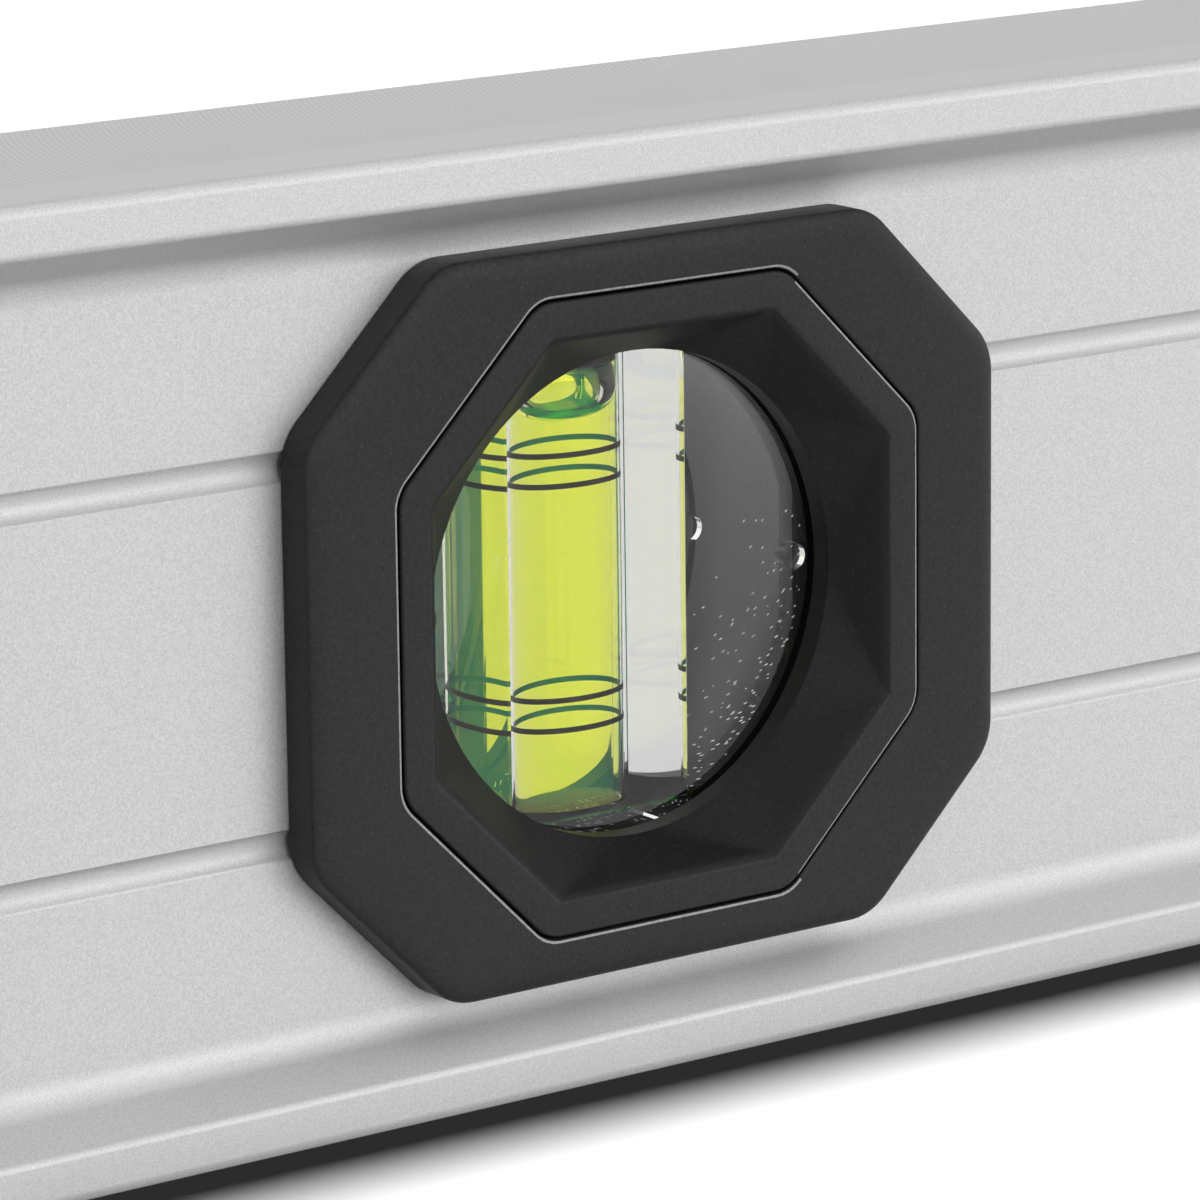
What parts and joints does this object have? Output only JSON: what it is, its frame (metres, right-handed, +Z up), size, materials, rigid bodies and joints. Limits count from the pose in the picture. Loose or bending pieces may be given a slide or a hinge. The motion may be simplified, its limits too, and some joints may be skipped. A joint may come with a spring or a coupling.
{
  "type": "digital spirit level",
  "caption": "Digital box-section spirit level: aluminium body with an octagonal plumb vial window, a level vial, a tilt display with keys, end caps and a hinged battery door.",
  "frame": {"origin": "centre of the lower measuring face, under the middle of the body", "axes": "+X along the body towards the level vial, +Y from the display side to the battery side, +Z up to the upper measuring face"},
  "size_m": [0.4, 0.025, 0.06],
  "materials": {
    "aluminium": "fine matte anodised extrusion, milled on the measuring faces",
    "cap": "impact plastic, fine grain",
    "frame": "black plastic, fine spark-eroded grain",
    "funnel": "black plastic, satin",
    "carrier": "black plastic, rough",
    "pane": "clear acrylic",
    "acrylic": "clear polished acrylic",
    "liquid": "fluorescent yellow-green spirit",
    "ring": "matte black",
    "stopper": "white plastic",
    "lens": "tinted hard-coated acrylic",
    "lcd": "reflective display",
    "guide": "frosted light guide",
    "board": "solder mask",
    "silicone": "silicone rubber",
    "key": "satin plastic",
    "chip": "moulded package",
    "steel": "nickel plated",
    "cell": "plain wrapped cell"
  },
  "bodies": {
    "body": {"profile": "aluminium", "end_cap_left": "cap", "end_cap_right": "cap", "plumb_bezel_front": "frame", "plumb_bezel_rear": "frame", "plumb_funnel_front": "funnel", "plumb_funnel_rear": "funnel", "plumb_window_front": "pane", "plumb_window_rear": "pane", "plumb_carrier": "carrier", "plumb_vial": "acrylic", "plumb_liquid": "liquid", "plumb_rings": "ring", "plumb_plug": "stopper", "level_carrier": "carrier", "level_cover": "pane", "level_bezel_front": "frame", "level_bezel_rear": "frame", "level_vial": "acrylic", "level_liquid": "liquid", "level_rings": "ring", "level_plug": "stopper", "display_housing": "frame", "display_lens": "lens", "lcd_panel": "lcd", "light_guide": "guide", "circuit_board": "board", "keypad_mat": "silicone", "tilt_sensor": "chip", "buzzer": "chip", "board_screws": "steel", "case_seal": "silicone", "rear_housing": "frame", "battery_cells": "cell", "battery_contacts": "steel", "housing_screws": "steel"},
    "key_power": {"key_power": "key"},
    "key_hold": {"key_hold": "key"},
    "key_unit": {"key_unit": "key"},
    "key_zero": {"key_zero": "key"},
    "key_light": {"key_light": "key"},
    "battery_door": {"battery_door": "frame"}
  },
  "joints": [
    {"name": "power_key_press", "type": "slide", "parent": "body", "child": "key_power", "axis": [0, 1, 0], "range_m": [0, 0.0006], "stiffness_N_per_m": 1200, "springref_m": -0.0003},
    {"name": "hold_key_press", "type": "slide", "parent": "body", "child": "key_hold", "axis": [0, 1, 0], "range_m": [0, 0.0006], "stiffness_N_per_m": 1200, "springref_m": -0.0003},
    {"name": "unit_key_press", "type": "slide", "parent": "body", "child": "key_unit", "axis": [0, 1, 0], "range_m": [0, 0.0006], "stiffness_N_per_m": 1200, "springref_m": -0.0003},
    {"name": "zero_key_press", "type": "slide", "parent": "body", "child": "key_zero", "axis": [0, 1, 0], "range_m": [0, 0.0006], "stiffness_N_per_m": 1200, "springref_m": -0.0003},
    {"name": "light_key_press", "type": "slide", "parent": "body", "child": "key_light", "axis": [0, 1, 0], "range_m": [0, 0.0006], "stiffness_N_per_m": 1200, "springref_m": -0.0003},
    {"name": "battery_door_hinge", "type": "hinge", "parent": "body", "child": "battery_door", "pos_m": [0, 0.0113, 0.0425], "axis": [1, 0, 0], "range_deg": [0, 90]}
  ]
}
